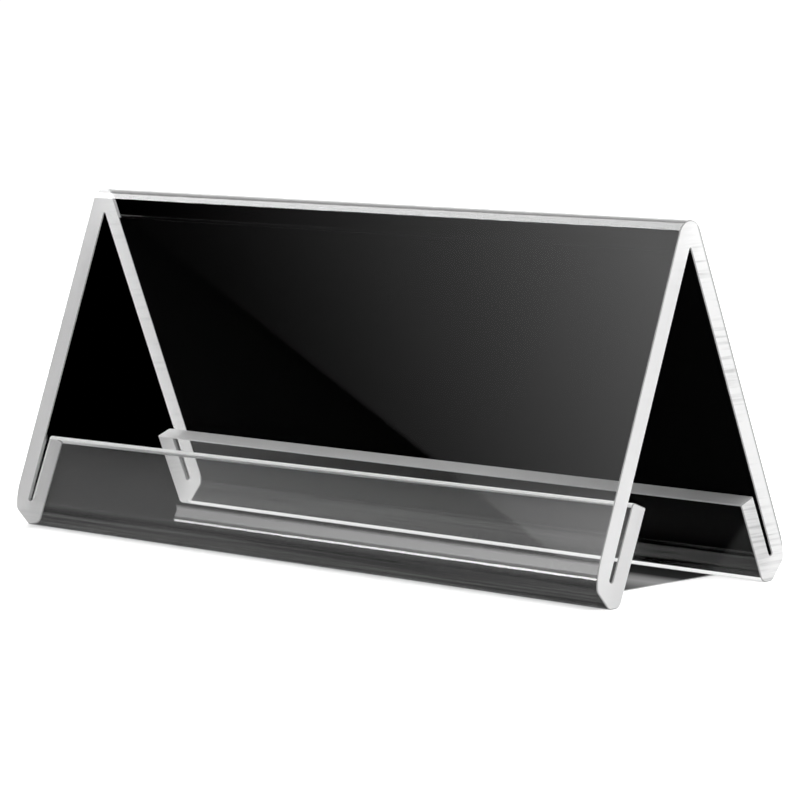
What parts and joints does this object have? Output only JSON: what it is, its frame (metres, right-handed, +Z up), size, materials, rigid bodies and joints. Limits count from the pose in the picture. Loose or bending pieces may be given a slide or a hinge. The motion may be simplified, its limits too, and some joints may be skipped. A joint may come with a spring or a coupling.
{
  "type": "sign holder",
  "caption": "Tent-shaped clear acrylic sign holder bent from sheet, with a lip and card slot inside each foot and a blank black card that slides out sideways.",
  "frame": {"origin": "on the table, at the middle of the length and midway between the two feet", "axes": "+X along the ridge, -Y towards the front panel, +Z up"},
  "size_m": [0.216, 0.0662, 0.0896],
  "materials": {
    "clear_acrylic": "gloss",
    "black_card": "matte"
  },
  "bodies": {
    "holder": {"holder_body": "clear_acrylic"},
    "card": {"sign_card": "black_card"}
  },
  "joints": [
    {"name": "card_slide", "type": "slide", "parent": "holder", "child": "card", "axis": [1, 0, 0], "range_m": [-0.1, 0.1]}
  ]
}
